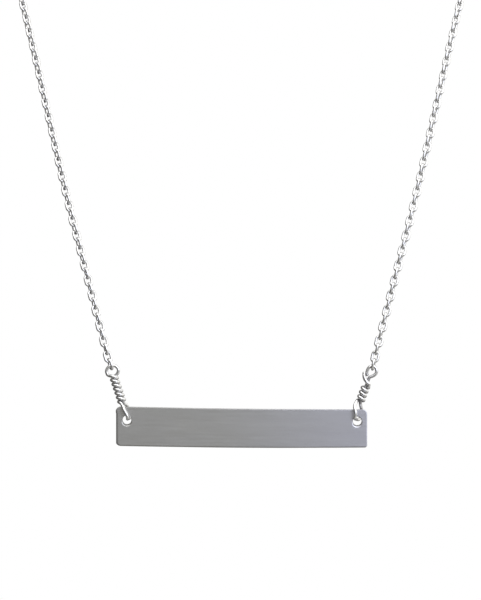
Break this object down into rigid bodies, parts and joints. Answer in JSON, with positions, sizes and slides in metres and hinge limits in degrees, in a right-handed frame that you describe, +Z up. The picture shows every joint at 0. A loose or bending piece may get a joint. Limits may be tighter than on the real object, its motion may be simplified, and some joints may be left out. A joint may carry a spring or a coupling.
{
  "type": "bar pendant necklace",
  "caption": "Slim rectangular bar pendant with a hole near each end, hung by wire-wrapped links on a fine cable chain that closes in a clasp at the nape.",
  "frame": {"origin": "the crossing of the clasp and the catch ring at the nape, where the necklace rests", "axes": "+Z up, front towards -Y, the bar in front and below with its length along X"},
  "size_m": [0.0974, 0.0981, 0.1328],
  "materials": {
    "satin_silver": "satin silver, brushed along the bar, with softened edges",
    "polished_silver": "bright polished silver wire"
  },
  "bodies": {
    "necklace": {"front_link_left": "polished_silver", "front_link_right": "polished_silver", "chain_left": "polished_silver", "chain_right": "polished_silver", "back_link_left": "polished_silver", "back_link_right": "polished_silver", "clasp": "polished_silver", "catch_ring": "polished_silver"},
    "links": {"wrapped_link_left": "polished_silver", "wrapped_link_right": "polished_silver"},
    "bar": {"bar": "satin_silver"}
  },
  "joints": [
    {"name": "link_swing", "type": "hinge", "parent": "necklace", "child": "links", "pos_m": [0, -0.095, -0.11654], "axis": [1, 0, 0], "range_deg": [-45, 45]},
    {"name": "bar_swing", "type": "hinge", "parent": "links", "child": "bar", "pos_m": [0, -0.095, -0.12361], "axis": [1, 0, 0], "range_deg": [-20, 20]}
  ]
}
